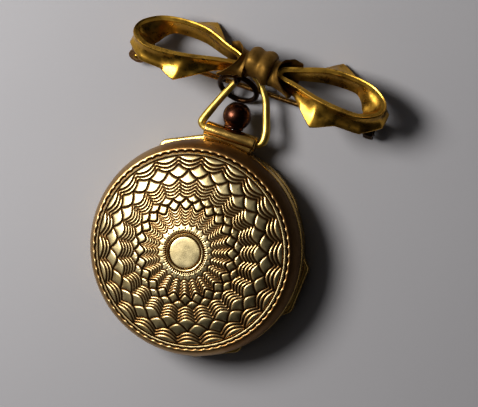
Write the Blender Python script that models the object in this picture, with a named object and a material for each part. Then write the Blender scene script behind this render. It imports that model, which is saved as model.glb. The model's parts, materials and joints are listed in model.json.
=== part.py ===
"""Fob watch hung from a ribbon bow brooch, lying on a table with its back up.

Built in millimetres and scaled to metres. The watch axis is Z, twelve o'clock is +Y, and Z = 0 is the table.
The brooch has a frame of its own: x along the bow, y to its top edge, z out of its front.
"""

import math

import bmesh
import bpy
from mathutils import Matrix, Vector
from mathutils.geometry import delaunay_2d_cdt

MM = 0.001

# Where the watch axis stands, so that the whole object is centred on the origin.
WATCH_AT = (-1.28, -6.5, 0.0)

# Case
CASE_R = 14.0
CASE_WIDEST_Z = 3.4
CASE_BORE_R = 12.75
BEZEL_TOP_Z = 2.2
JOINT_GAP = 0.05
COVER_BASE_Z = 4.45
BORDER_R = 12.75
BORDER_Z = 6.9
DOME_RISE = 2.8
COVER_WALL = 0.6
LOBES = 6
LOBE_PITCH = 360.0 / LOBES
LOBE_TURN = -5.0
LOBE_TIP_HALF = 11.2
LOBE_BASE_HALF = 18.5
LOBE_CORNER_R = 14.75
BEZEL_R = 13.75
SIGHT_R = 10.3
CRYSTAL_R = 11.0
CRYSTAL_Z = (0.3, 0.95)

# Pendant, stem and crown
BAR_Y = 15.05
BAR_R = 1.0
BAR_HALF = 3.5
PIVOT_R = 0.4
STEM_R = 0.4
CROWN_Y = 17.75
CROWN_R = 1.82

# Stirrup and link ring
STIRRUP_WIRE_R = 0.52
STIRRUP_PITCH = -9.0
RING_R = 2.5
RING_WIRE_R = 0.38

# Movement
PLATE_R = 10.2
PLATE_Z = (3.25, 4.2)
BRIDGE_Z = (6.0, 6.7)
BRIDGE_R = 9.7
DIAL_R = 11.3
DIAL_Z = (2.05, 2.3)
MOST_LEAVES = 12
CENTRE = (0.0, 0.0)
BARREL = (-3.9, 2.9)
THIRD = (-1.28, -3.52)
FOURTH = (1.63, -4.58)
ESCAPE = (4.36, -3.59)
PALLET = (4.97, -1.58)
BALANCE = (5.9, 1.5)
CROWN_WHEEL = (0.0, 6.25)
MINUTE_WHEEL = (1.35, 2.34)

# Brooch
BROOCH_AT = (1.35, 24.6, 4.66)
BROOCH_TILT = -41.0
RIBBON_WALL = 0.75
KNOT_FORWARD = (0.0, 0.3)
EYE_AT = (-2.5, -1.1, -1.6)
STEM_PIN_R = 0.34
PIN_Y = EYE_AT[1] + RING_WIRE_R + STEM_PIN_R + 0.05
PIN_Z = -4.52
HINGE_X = -16.6
CATCH_X = 15.3
LOOP_BACK_Z = -1.3

for old in list(bpy.data.objects):
    bpy.data.objects.remove(old, do_unlink=True)


def finish(name, colour, roughness, metallic):
    made = bpy.data.materials.new(name)
    made.use_nodes = True
    shader = made.node_tree.nodes["Principled BSDF"]
    shader.inputs["Base Color"].default_value = (*colour, 1.0)
    shader.inputs["Roughness"].default_value = roughness
    shader.inputs["Metallic"].default_value = metallic
    made.diffuse_color = (*colour, 1.0)
    return made


GOLD = (0.62, 0.45, 0.17)
OLD_GOLD = (0.42, 0.29, 0.09)
DARK = (0.09, 0.055, 0.03)
COPPER = (0.24, 0.10, 0.05)
STEEL = (0.52, 0.52, 0.53)
GILT = (0.72, 0.56, 0.26)
BLUED = (0.05, 0.07, 0.20)
WHITE = (0.86, 0.84, 0.78)
GLASS = (0.85, 0.88, 0.9)


def empty(name, at=(0, 0, 0), tilt=0.0, parent=None):
    made = bpy.data.objects.new(name, None)
    bpy.context.scene.collection.objects.link(made)
    made.location = Vector(at) * MM
    made.rotation_euler = (math.radians(tilt), 0, 0)
    made.parent = parent
    return made


WATCH = empty("watch_frame", WATCH_AT)
BROOCH = empty("brooch_frame", BROOCH_AT, BROOCH_TILT, WATCH)
STIRRUP = empty("stirrup_frame", (0, BAR_Y, CASE_WIDEST_Z), STIRRUP_PITCH, WATCH)


def solid(name, points, faces, look, at=(0, 0, 0), parent=WATCH, smooth=True):
    """One named object from points in millimetres about its own origin."""
    mesh = bpy.data.meshes.new(name)
    mesh.from_pydata([Vector(p) * MM for p in points], [], faces)
    work = bmesh.new()
    work.from_mesh(mesh)
    bmesh.ops.recalc_face_normals(work, faces=work.faces)
    if work.calc_volume(signed=True) < 0:
        bmesh.ops.reverse_faces(work, faces=work.faces)
    work.to_mesh(mesh)
    work.free()
    made = bpy.data.objects.new(name, mesh)
    bpy.context.scene.collection.objects.link(made)
    made.location = Vector(at) * MM
    made.parent = parent
    mesh.materials.append(finish(name + "_finish", *look))
    if smooth:
        mesh.shade_smooth()
    return made


def loft(name, rings, look, closed=False, **place):
    """Skin over rings of equal length: open ends are capped, or the last ring meets the first."""
    count = len(rings[0])
    points = [p for ring in rings for p in ring]
    faces = []
    for i in range(len(rings) if closed else len(rings) - 1):
        near = i * count
        far = (i + 1) % len(rings) * count
        for k in range(count):
            after = (k + 1) % count
            faces.append((near + k, near + after, far + after, far + k))
    if not closed:
        faces.append(tuple(range(count)))
        faces.append(tuple(range(len(points) - count, len(points))))
    return solid(name, points, faces, look, **place)


def revolve(name, profile, look, steps=48, axis="Z", edge=None, **place):
    """Turn a profile of (radius, height) points about an axis; radius 0 ends close on the axis.

    edge is a list of (angle, factor): the angles to use, and what to multiply the radius by there
    on the profile points that carry a third value.
    """
    around = edge or [(2 * math.pi * k / steps, 1.0) for k in range(steps)]
    steps = len(around)
    turned = {
        "X": lambda a, b, h: (h, a, b),
        "Y": lambda a, b, h: (b, h, a),
        "Z": lambda a, b, h: (a, b, h),
    }[axis]
    points, faces, rows = [], [], []
    for entry in profile:
        radius, height = entry[:2]
        if radius == 0:
            rows.append([len(points)] * steps)
            points.append(turned(0, 0, height))
            continue
        row = []
        for angle, factor in around:
            grown = radius * (factor if len(entry) > 2 else 1)
            row.append(len(points))
            points.append(turned(grown * math.cos(angle), grown * math.sin(angle), height))
        rows.append(row)
    ring = profile[0][0] != 0
    for i in range(len(rows) if ring else len(rows) - 1):
        low, high = rows[i], rows[(i + 1) % len(rows)]
        for k in range(steps):
            after = (k + 1) % steps
            corners = (low[k], low[after], high[after], high[k])
            faces.append(tuple(dict.fromkeys(corners)))
    return solid(name, points, faces, look, **place)


def disc(radius, count, centre=(0, 0), start=0.0):
    """Points of a circle in the plane."""
    turn = 2 * math.pi / count
    return [
        (centre[0] + radius * math.cos(start + k * turn), centre[1] + radius * math.sin(start + k * turn))
        for k in range(count)
    ]


def toothed(teeth, root, tip, lean=0.0):
    """Outline of a wheel: a pinion's flat leaves, pointed wheel teeth, or the leaning ones of a ratchet."""
    pitch = 2 * math.pi / teeth
    marks = [(0.0, root), (lean or 0.5, tip)]
    if teeth <= MOST_LEAVES:
        marks = [(0.0, root), (0.3, tip), (0.5, tip), (0.8, root)]
    outline = []
    for k in range(teeth):
        for share, radius in marks:
            angle = (k + share) * pitch
            outline.append((radius * math.cos(angle), radius * math.sin(angle)))
    return outline


def spoke_gaps(inner, outer, spokes, half_width):
    """The openings between a wheel's spokes, each a curved four-sided hole."""
    gaps = []
    pitch = 2 * math.pi / spokes
    for k in range(spokes):
        gap = []
        for radius, order in ((inner, 1), (outer, -1)):
            clear = math.asin(half_width / radius)
            angles = [k * pitch + clear + (pitch - 2 * clear) * i / 4 for i in range(5)][::order]
            gap += [(radius * math.cos(a), radius * math.sin(a)) for a in angles]
        gaps.append(gap)
    return gaps


def within(loops, point):
    """Whether a point is inside the outline and outside its holes."""
    crossings = 0
    for loop in loops:
        for (ax, ay), (bx, by) in zip(loop, loop[1:] + loop[:1]):
            if (ay > point.y) != (by > point.y) and point.x < ax + (bx - ax) * (point.y - ay) / (by - ay):
                crossings += 1
    return crossings % 2 == 1


def plate(name, loops, low, high, look, **place):
    """A flat piece between two heights from an outline and its holes."""
    flat = [Vector(p) for loop in loops for p in loop]
    edges, start = [], 0
    for loop in loops:
        edges += [(start + k, start + (k + 1) % len(loop)) for k in range(len(loop))]
        start += len(loop)
    found = delaunay_2d_cdt(flat, edges, [], 1, 1e-7)
    cap_points = found[0]
    cap = []
    for face in found[2]:
        middle = sum((cap_points[i] for i in face), Vector((0, 0))) / len(face)
        if within(loops, middle):
            cap.append(face)
    count = len(cap_points)
    points = [(p.x, p.y, low) for p in cap_points] + [(p.x, p.y, high) for p in cap_points]
    faces = [tuple(reversed(f)) for f in cap] + [tuple(i + count for i in f) for f in cap]
    sides = {}
    for face in cap:
        for a, b in zip(face, face[1:] + face[:1]):
            sides[frozenset((a, b))] = sides.get(frozenset((a, b)), 0) + 1
    for side, used in sides.items():
        if used == 1:
            a, b = sorted(side)
            faces.append((a, b, b + count, a + count))
    return solid(name, points, faces, look, smooth=False, **place)


def boolean(target, other, operation):
    """Work one shape into another and keep only the first."""
    step = target.modifiers.new(operation.lower(), "BOOLEAN")
    step.operation = operation
    step.solver = "EXACT"
    step.object = other
    other.hide_render = True
    other.display_type = "WIRE"
    return target


def helper(shape):
    shape.name = "helper_" + shape.name
    return shape


def block(name, low, high, look, **place):
    corners = [(low[0], low[1]), (high[0], low[1]), (high[0], high[1]), (low[0], high[1])]
    return plate(name, [corners], low[2], high[2], look, **place)


def spline(control, per_span, closed=False):
    """A smooth run through control points of any dimension."""
    points = [Vector(p) for p in control]
    count = len(points)
    out = []
    for i in range(count if closed else count - 1):
        around = [(i + j) % count if closed else min(max(i + j, 0), count - 1) for j in (-1, 0, 1, 2)]
        a, b, c, d = (points[j] for j in around)
        for k in range(per_span):
            t = k / per_span
            bend = (2 * a - 5 * b + 4 * c - d) * t**2 + (3 * b - a - 3 * c + d) * t**3
            out.append(b + 0.5 * ((c - a) * t + bend))
    if not closed:
        out.append(points[-1])
    return out


def wire(name, path, radius, look, sides=10, closed=False, flat=1.0, **place):
    """A round or flattened wire along a path, with flat ends."""
    points = [Vector(p) for p in path]
    count = len(points)
    rings = []
    normal = None
    for i, here in enumerate(points):
        ahead = points[(i + 1) % count] if closed or i + 1 < count else here
        behind = points[i - 1] if closed or i else here
        along = (ahead - behind).normalized()
        if normal is None:
            normal = along.orthogonal() if abs(along.z) > 0.9 else along.cross(Vector((0, 0, 1)))
        normal = (normal - along * normal.dot(along)).normalized()
        side = along.cross(normal)
        size = radius[i] if isinstance(radius, list) else radius
        ring = []
        for k in range(sides):
            turn = 2 * math.pi * (k + 0.5) / sides
            ring.append(here + normal * size * math.cos(turn) + side * size * flat * math.sin(turn))
        rings.append(ring)
    return loft(name, rings, look, closed=closed, **place)


# ---------------------------------------------------------------- case

GOLD_LOOK = (GOLD, 0.3, 1.0)


# The bezel's outline: six flat-sided lobes stand out of a round rim.
LOBE_MARKS = [
    (-LOBE_BASE_HALF, BEZEL_R),
    (-LOBE_TIP_HALF, LOBE_CORNER_R),
    (0.0, LOBE_CORNER_R * math.cos(math.radians(LOBE_TIP_HALF))),
    (LOBE_TIP_HALF, LOBE_CORNER_R),
    (LOBE_BASE_HALF, BEZEL_R),
    (LOBE_PITCH / 2 - 4.0, BEZEL_R),
    (LOBE_PITCH / 2 + 4.0, BEZEL_R),
]
lobe_outline = []
for k in range(LOBES):
    for mark, radius in LOBE_MARKS:
        lobe_outline.append((math.radians(LOBE_TURN + k * LOBE_PITCH + mark), radius / BEZEL_R))

revolve(
    "bezel",
    [
        (SIGHT_R, 0.25),
        (SIGHT_R + 0.25, 0.0),
        (12.6, 0.0),
        (13.2, 0.4, 1),
        (BEZEL_R, 1.1, 1),
        (BEZEL_R, 1.85, 1),
        (13.55, BEZEL_TOP_Z),
        (11.45, BEZEL_TOP_Z),
        (11.45, 1.05),
        (CRYSTAL_R + 0.05, 1.0),
        (CRYSTAL_R + 0.05, 0.25),
    ],
    GOLD_LOOK,
    edge=lobe_outline,
)
revolve(
    "crystal",
    [
        (0, CRYSTAL_Z[0] - 0.05),
        (CRYSTAL_R * 0.6, CRYSTAL_Z[0]),
        (CRYSTAL_R, 0.45),
        (CRYSTAL_R, CRYSTAL_Z[1]),
        (0, CRYSTAL_Z[1]),
    ],
    (GLASS, 0.05, 0.0),
    steps=48,
)
middle = revolve(
    "case_middle",
    [
        (CASE_BORE_R, BEZEL_TOP_Z + JOINT_GAP),
        (13.7, BEZEL_TOP_Z + JOINT_GAP),
        (13.92, 2.7),
        (CASE_R, CASE_WIDEST_Z),
        (13.93, COVER_BASE_Z - JOINT_GAP),
        (CASE_BORE_R, COVER_BASE_Z - JOINT_GAP),
    ],
    GOLD_LOOK,
    steps=72,
)
stem_bore = revolve(
    "stem_bore",
    [(0, 12.0), (0.55, 12.0), (0.55, 14.6), (0, 14.6)],
    GOLD_LOOK,
    steps=16,
    axis="Y",
    at=(0, 0, CASE_WIDEST_Z),
)
boolean(middle, helper(stem_bore), "DIFFERENCE")


def dome(radius, drop=0.0):
    return BORDER_Z + DOME_RISE * (1 - (radius / BORDER_R) ** 2) - drop


cover_disc = [
    (0, dome(1.0)), (2.0, dome(1.0)), (2.15, dome(2.15) - 0.1), (2.35, dome(2.35) + 0.06), (2.6, dome(2.6))
]
cover_top = [(r, dome(r)) for r in (4.8, 7.2, 9.4, 11.2)]
cover_border = [
    (BORDER_R - 0.25, BORDER_Z + 0.05), (BORDER_R - 0.1, BORDER_Z - 0.1), (BORDER_R + 0.05, BORDER_Z - 0.02)
]
cover_side = [(13.25, 6.5), (13.6, 5.95), (13.86, 5.2), (13.92, COVER_BASE_Z)]
cover_inside = [
    (13.1, COVER_BASE_Z), (13.1, 5.3), (12.7, 6.1), (10.5, dome(10.5, COVER_WALL)), (6, dome(6, COVER_WALL))
]
revolve(
    "back_cover",
    cover_disc + cover_top + cover_border + cover_side + cover_inside + [(0, dome(0, COVER_WALL))],
    GOLD_LOOK,
    steps=60,
)

# ---------------------------------------------------------------- pendant, crown and stem

bar = revolve(
    "pendant_bar",
    [
        (0, -BAR_HALF),
        (BAR_R - 0.1, -BAR_HALF),
        (BAR_R, -BAR_HALF + 0.1),
        (BAR_R, BAR_HALF - 0.1),
        (BAR_R - 0.1, BAR_HALF),
        (0, BAR_HALF),
    ],
    GOLD_LOOK,
    steps=24,
    axis="X",
    at=(0, BAR_Y, CASE_WIDEST_Z),
)
seat = block("bar_seat", (-3.2, -0.9, -0.75), (3.2, 0.2, 0.75), GOLD_LOOK, at=(0, BAR_Y, CASE_WIDEST_Z))
boolean(bar, helper(seat), "UNION")
case_cut = revolve(
    "case_cut",
    [(0, 0), (CASE_R + 0.04, 0), (CASE_R + 0.04, 7), (0, 7)],
    GOLD_LOOK,
    steps=72,
)
boolean(bar, helper(case_cut), "DIFFERENCE")
bar_bore = revolve(
    "bar_bore",
    [(0, 12.0), (0.5, 12.0), (0.5, 17.0), (0, 17.0)],
    GOLD_LOOK,
    steps=16,
    axis="Y",
    at=(0, 0, CASE_WIDEST_Z),
)
boolean(bar, helper(bar_bore), "DIFFERENCE")
for side in (-1, 1):
    ends = sorted((side * 2.4, side * 4.0))
    pivot_bore = revolve(
        f"pivot_bore_{side}",
        [(0, ends[0]), (PIVOT_R + 0.1, ends[0]), (PIVOT_R + 0.1, ends[1]), (0, ends[1])],
        GOLD_LOOK,
        steps=16,
        axis="X",
        at=(0, BAR_Y, CASE_WIDEST_Z),
    )
    boolean(bar, helper(pivot_bore), "DIFFERENCE")

ball = [
    (CROWN_R * math.sin(math.radians(a)), CROWN_R * math.cos(math.radians(a)) * -1)
    for a in (42, 60, 75, 90, 105, 120, 135, 150, 165)
]
revolve(
    "crown",
    [(0.45, 16.3 - CROWN_Y), (1.2, 16.3 - CROWN_Y)] + ball + [(0, CROWN_R), (0, 0.3), (0.45, 0.3)],
    (COPPER, 0.35, 1.0),
    steps=28,
    axis="Y",
    at=(0, CROWN_Y, CASE_WIDEST_Z),
)
revolve(
    "winding_stem",
    [(0, 5.46), (0.3, 5.46), (STEM_R, 5.56), (STEM_R, 17.95), (0, 17.95)],
    (STEEL, 0.3, 1.0),
    steps=16,
    axis="Y",
    at=(0, 0, CASE_WIDEST_Z),
)

# ---------------------------------------------------------------- stirrup and ring

stirrup_path = spline(
    [
        (-2.7, 0, 0),
        (-3.6, 0, 0),
        (-4.2, 0.55, 0),
        (-3.9, 1.75, 0),
        (-2.9, 4.2, 0),
        (-1.75, 6.7, 0),
        (-1.1, 7.95, 0),
        (-0.1, 8.35, 0),
        (1.1, 7.75, 0),
        (2.65, 6.0, 0),
        (3.5, 3.9, 0),
        (4.15, 1.9, 0),
        (4.2, 0.65, 0),
        (3.6, 0, 0),
        (2.7, 0, 0),
    ],
    3,
)
stirrup_size = [
    PIVOT_R if i < 4 or i > len(stirrup_path) - 5 else STIRRUP_WIRE_R
    for i in range(len(stirrup_path))
]
wire("stirrup", stirrup_path, stirrup_size, (GOLD, 0.35, 1.0), sides=10, parent=STIRRUP)

ring_path = [
    (RING_R * math.cos(a), 0, RING_R * math.sin(a) - RING_R)
    for a in (2 * math.pi * k / 28 for k in range(28))
]
wire("link_ring", ring_path, RING_WIRE_R, (DARK, 0.4, 1.0), sides=10, closed=True, at=EYE_AT, parent=BROOCH)

# ---------------------------------------------------------------- dial and hands

revolve(
    "dial",
    [(0.8, DIAL_Z[0]), (DIAL_R, DIAL_Z[0]), (DIAL_R, DIAL_Z[1]), (0.8, DIAL_Z[1])],
    (WHITE, 0.4, 0.0),
    steps=48,
)
hour_shape = [
    (-0.25, -1.0), (0.25, -1.0), (0.75, 0), (0.4, 0.75), (0.3, 3.6), (0.6, 4.6), (0, 6.0), (-0.6, 4.6),
    (-0.3, 3.6), (-0.4, 0.75), (-0.75, 0),
]
plate("hour_hand", [hour_shape, disc(0.64, 16)], 1.62, 1.77, (BLUED, 0.3, 1.0))
minute_shape = [
    (-0.2, -1.6), (0.2, -1.6), (0.55, 0), (0.3, 0.6), (0.22, 6.2), (0.4, 7.2), (0, 9.0), (-0.4, 7.2),
    (-0.22, 6.2), (-0.3, 0.6), (-0.55, 0),
]
plate("minute_hand", [minute_shape, disc(0.32, 14)], 1.28, 1.43, (BLUED, 0.3, 1.0))
cannon_teeth = toothed(12, 0.52, 0.72)
cannon = plate("cannon_pinion", [cannon_teeth], 2.9, 3.15, (STEEL, 0.3, 1.0))
cannon_pipe = revolve(
    "cannon_pipe",
    [(0, 1.2), (0.27, 1.2), (0.27, 2.6), (0.33, 2.6), (0.33, 3.0), (0, 3.0)],
    GOLD_LOOK,
    steps=16,
)
boolean(cannon, helper(cannon_pipe), "UNION")
hour_wheel = plate("hour_wheel", [toothed(40, 1.95, 2.14), disc(0.42, 14)], 2.5, 2.7, (GILT, 0.35, 1.0))
hour_pipe = revolve("hour_pipe", [(0.36, 1.55), (0.58, 1.55), (0.58, 2.6), (0.42, 2.6)], GOLD_LOOK, steps=20)
boolean(hour_wheel, helper(hour_pipe), "UNION")
minute_wheel = plate(
    "minute_wheel", [toothed(36, 1.72, 1.9)], 2.95, 3.15, (GILT, 0.35, 1.0), at=(*MINUTE_WHEEL, 0)
)
minute_pinion = plate("minute_pinion", [toothed(10, 0.38, 0.54)], 2.45, 3.0, GOLD_LOOK, at=(*MINUTE_WHEEL, 0))
boolean(minute_wheel, helper(minute_pinion), "UNION")

# ---------------------------------------------------------------- movement

STEEL_LOOK = (STEEL, 0.3, 1.0)
GILT_LOOK = (GILT, 0.35, 1.0)

revolve(
    "holding_ring",
    [(PLATE_R + 0.1, 2.4), (12.65, 2.4), (12.65, 4.3), (PLATE_R + 0.1, 4.3)],
    (STEEL, 0.45, 1.0),
    steps=48,
)
stem_slot = [
    (-1.15, 5.4), (1.15, 5.4), (1.15, 8.2), (0.55, 8.2), (0.55, PLATE_R + 1), (-0.55, PLATE_R + 1),
    (-0.55, 8.2), (-1.15, 8.2),
]
jewels = [
    (THIRD, 0.24), (FOURTH, 0.24), (ESCAPE, 0.24), (PALLET, 0.24), (BALANCE, 0.24), (BARREL, 0.5),
    (CENTRE, 0.4),
]
main_plate = plate(
    "main_plate", [disc(PLATE_R, 64)] + [disc(r, 12, c) for c, r in jewels], *PLATE_Z, GILT_LOOK
)
slot_cut = plate("slot_cut", [stem_slot], 2.0, 5.0, GILT_LOOK)
boolean(main_plate, helper(slot_cut), "DIFFERENCE")
ring_slot = block("ring_slot", (-0.55, 9.0, 2.0), (0.55, 13.5, 5.0), GILT_LOOK)
boolean(bpy.data.objects["holding_ring"], helper(ring_slot), "DIFFERENCE")


def sector(start, stop, outer, steps=10):
    span = math.radians(stop - start)
    return [
        (
            outer * math.cos(math.radians(start) + span * k / steps),
            outer * math.sin(math.radians(start) + span * k / steps),
        )
        for k in range(steps + 1)
    ]


def bridge(name, outline, holes, foot):
    """A bridge over the train, standing on one foot along the plate's edge."""
    made = plate(name, [outline] + [disc(r, 12, c) for c, r in holes], *BRIDGE_Z, GILT_LOOK)
    start, stop, inner = foot
    outline = sector(start, stop, BRIDGE_R - 0.1, 8) + sector(start, stop, inner, 8)[::-1]
    leg = plate(name + "_foot", [outline], PLATE_Z[1] + JOINT_GAP, BRIDGE_Z[0] + 0.2, GILT_LOOK)
    return boolean(made, helper(leg), "UNION")


bridge(
    "barrel_bridge",
    sector(62, 208, BRIDGE_R) + [(-3.4, -0.2), (-0.6, 1.4), (2.6, 4.2)],
    [(BARREL, 0.62), (CROWN_WHEEL, 1.75)],
    (118, 172, 8.75),
)
bridge(
    "train_bridge",
    sector(214, 318, BRIDGE_R) + [(3.0, -1.2), (0.9, 0.9), (-0.9, 0.7)],
    [(CENTRE, 0.4), (THIRD, 0.24), (FOURTH, 0.24), (ESCAPE, 0.24)],
    (232, 300, 8.7),
)
bridge(
    "balance_cock",
    sector(-12, 32, BRIDGE_R, 6) + [(7.0, 3.2), (5.2, 2.3), (5.0, 0.8), (6.2, 0.2)],
    [(BALANCE, 0.24)],
    (-10, 30, 8.9),
)


def wheel(name, centre, outline, crossing, level, arbor, pinion):
    """A train wheel on its arbor.

    crossing is (rim radius, hub radius, spokes), level is (height, thickness), arbor is (low, high, radius)
    and pinion is (leaves, root radius, tip radius, low, high).
    """
    rim, hub, spokes = crossing
    height, thick = level
    low, high, body = arbor
    loops = [outline] + spoke_gaps(hub, rim, spokes, SPOKE_HALF)
    made = plate(name, loops, height, height + thick, GILT_LOOK, at=(*centre, 0))
    profile = [(0, low), (0.12, low), (body, low + 0.35), (body, high - 0.35), (0.12, high), (0, high)]
    staff = revolve(name + "_staff", profile, STEEL_LOOK, steps=12, at=(*centre, 0))
    boolean(made, helper(staff), "UNION")
    if pinion:
        leaves, root, tip, bottom, top = pinion
        edge = toothed(leaves, root, tip)
        teeth = plate(name + "_leaves", [edge], bottom, top, STEEL_LOOK, at=(*centre, 0))
        boolean(made, helper(teeth), "UNION")


SPOKE_HALF = 0.16
STAFF = (3.6, 6.6, 0.2)
TRAIN = [
    ("centre_wheel", CENTRE, toothed(48, 2.95, 3.1), (2.45, 1.3, 4), (5.62, 0.18), (3.4, 6.6, 0.3)),
    ("third_wheel", THIRD, toothed(45, 2.34, 2.48), (1.95, 0.75, 4), (4.92, 0.16), STAFF),
    ("fourth_wheel", FOURTH, toothed(60, 2.26, 2.38), (1.85, 0.7, 4), (5.25, 0.16), STAFF),
    ("escape_wheel", ESCAPE, toothed(15, 1.15, 1.5, 0.25), (0.95, 0.45, 3), (4.55, 0.15), STAFF),
    ("balance_wheel", BALANCE, disc(2.6, 40), (2.25, 0.35, 2), (5.4, 0.2), (3.5, 6.6, 0.18)),
]
PINIONS = {
    "centre_wheel": (10, 0.95, 1.3, 4.35, 4.75),
    "third_wheel": (6, 0.34, 0.5, 5.5, 5.85),
    "fourth_wheel": (6, 0.32, 0.48, 4.85, 5.15),
    "escape_wheel": (6, 0.26, 0.38, 5.2, 5.45),
}
for name, centre, outline, crossing, level, arbor in TRAIN:
    wheel(name, centre, outline, crossing, level, arbor, PINIONS.get(name))
fork = [
    (-0.95, -1.05), (-0.55, -1.2), (-0.3, -0.3), (0.3, -0.3), (0.55, -1.2), (0.95, -1.05), (0.65, 0.25),
    (0.22, 0.4), (0.2, 1.7), (0.4, 2.3), (0.12, 2.3), (0, 2.0), (-0.12, 2.3), (-0.4, 2.3), (-0.2, 1.7),
    (-0.22, 0.4), (-0.65, 0.25),
]
pallet = plate("pallet_fork", [fork], 4.85, 5.0, STEEL_LOOK, at=(*PALLET, 0))
pallet_staff = revolve(
    "pallet_staff", [(0, 4.25), (0.15, 4.25), (0.15, 5.4), (0, 5.4)], STEEL_LOOK, steps=10, at=(*PALLET, 0)
)
boolean(pallet, helper(pallet_staff), "UNION")


def coil(name, inner, growth, turns, steps, section, look, centre):
    """A flat spiral spring from an inner radius, of so many turns; section is (thickness, low, high)."""
    thick, low, high = section
    rings = []
    for k in range(round(turns * steps) + 1):
        angle = 2 * math.pi * k / steps
        radius = inner + growth * k / (turns * steps)
        corners = ((radius, low), (radius + thick, low), (radius + thick, high), (radius, high))
        rings.append([(r * math.cos(angle), r * math.sin(angle), z) for r, z in corners])
    return loft(name, rings, look, at=(*centre, 0), smooth=False)


coil("hairspring", 0.55, 1.35, 3, 14, (0.06, 5.72, 5.86), (BLUED, 0.3, 1.0), BALANCE)

drum = plate(
    "mainspring_barrel", [toothed(60, 3.3, 3.44), disc(0.5, 14)], 4.3, 4.55, GILT_LOOK, at=(*BARREL, 0)
)
drum_wall = revolve(
    "drum_wall", [(3.0, 4.4), (3.2, 4.4), (3.2, 5.35), (3.0, 5.35)], GILT_LOOK, steps=40, at=(*BARREL, 0)
)
boolean(drum, helper(drum_wall), "UNION")
revolve(
    "barrel_lid", [(0.5, 5.4), (3.2, 5.4), (3.2, 5.54), (0.5, 5.54)], GILT_LOOK, steps=40, at=(*BARREL, 0)
)
coil("mainspring", 0.7, 2.1, 5, 12, (0.12, 4.6, 5.35), STEEL_LOOK, BARREL)
revolve(
    "barrel_arbor",
    [(0, 3.5), (0.4, 3.5), (0.4, 6.72), (0.3, 6.74), (0.3, 7.2), (0, 7.2)],
    STEEL_LOOK,
    steps=16,
    at=(*BARREL, 0),
)
plate("ratchet_wheel", [toothed(36, 2.28, 2.45, 0.2), disc(0.34, 12)], 6.76, 7.0, STEEL_LOOK, at=(*BARREL, 0))
crown_wheel = plate("crown_wheel", [toothed(36, 2.3, 2.48)], 6.76, 7.0, STEEL_LOOK, at=(*CROWN_WHEEL, 0))
crown_hub = revolve(
    "crown_hub",
    [(0, 4.6), (1.2, 4.6), (1.6, 4.75), (1.6, 6.85), (0, 6.85)],
    STEEL_LOOK,
    steps=24,
    at=(*CROWN_WHEEL, 0),
)
boolean(crown_wheel, helper(crown_hub), "UNION")
click_shape = [(-0.35, -0.5), (0.35, -0.5), (0.5, 0.2), (0.25, 1.3), (0.0, 1.45), (-0.15, 1.0), (-0.45, 0.3)]
plate("click", [click_shape], 6.76, 6.96, STEEL_LOOK, at=(-7.35, 4.3, 0))

PINION_EDGE = toothed(12, 0.72, 0.9)
for name, low, high in (("clutch_wheel", 5.5, 6.6), ("winding_pinion", 6.9, 7.9)):
    made = plate(
        name, [PINION_EDGE, disc(STEM_R + 0.06, 16)], low, high, STEEL_LOOK, at=(0, 0, CASE_WIDEST_Z)
    )
    made.rotation_euler = (math.radians(-90), 0, 0)
plate(
    "setting_lever",
    [[(1.4, 5.2), (2.2, 5.0), (2.6, 6.0), (2.4, 8.4), (1.3, 9.2), (1.2, 8.6), (1.9, 7.9), (1.9, 6.2)]],
    2.45,
    2.7,
    STEEL_LOOK,
)

screw_heads = [(-6.3, 6.6), (-8.8, -0.9), (-5.2, -7.4), (4.6, -7.6), (8.9, 2.6)]
for number, (x, y) in enumerate(screw_heads, 1):
    head = revolve(
        f"bridge_screw_{number}",
        [(0, 6.76), (0.6, 6.76), (0.6, 6.9), (0.5, 6.98), (0, 6.98)],
        (BLUED, 0.25, 1.0),
        steps=16,
        at=(x, y, 0),
    )
    slot = block(f"screw_slot_{number}", (-0.7, -0.09, 6.88), (0.7, 0.09, 7.1), STEEL_LOOK, at=(x, y, 0))
    boolean(head, helper(slot), "DIFFERENCE")

# ---------------------------------------------------------------- brooch

BOW_LOOK = (OLD_GOLD, 0.32, 1.0)


def ribbon_loop(name, front, back, look):
    """A ribbon standing on edge and bent into a closed loop.

    front and back are the outer edges of the band at its two faces, as (x, y, half depth) points.
    """
    per_span = 3
    ahead = spline(front, per_span, closed=True)
    behind = spline(back, per_span, closed=True)
    middle = sum((Vector(p) for p in ahead), Vector((0, 0, 0))) / len(ahead)
    rings = []
    for f, b in zip(ahead, behind):
        run = ahead[(ahead.index(f) + 1) % len(ahead)] - ahead[ahead.index(f) - 1]
        inward = Vector((-run.y, run.x, 0)).normalized()
        if inward.dot(middle - f) < 0:
            inward = -inward
        inward = Vector((inward.x, inward.y, 0))
        half = f.z
        rings.append(
            [
                (f.x, f.y, half - 0.15),
                (f.x + inward.x * 0.2, f.y + inward.y * 0.2, half),
                (f.x + inward.x * (RIBBON_WALL - 0.15), f.y + inward.y * (RIBBON_WALL - 0.15), half),
                (f.x + inward.x * RIBBON_WALL, f.y + inward.y * RIBBON_WALL, half - 0.2),
                (f.x + inward.x * (RIBBON_WALL - 0.05), f.y + inward.y * (RIBBON_WALL - 0.05), -half),
                (b.x, b.y, -half),
                (b.x, b.y, -half + 0.3),
            ]
        )
    return loft(name, rings, look, closed=True, parent=BROOCH)


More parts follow.
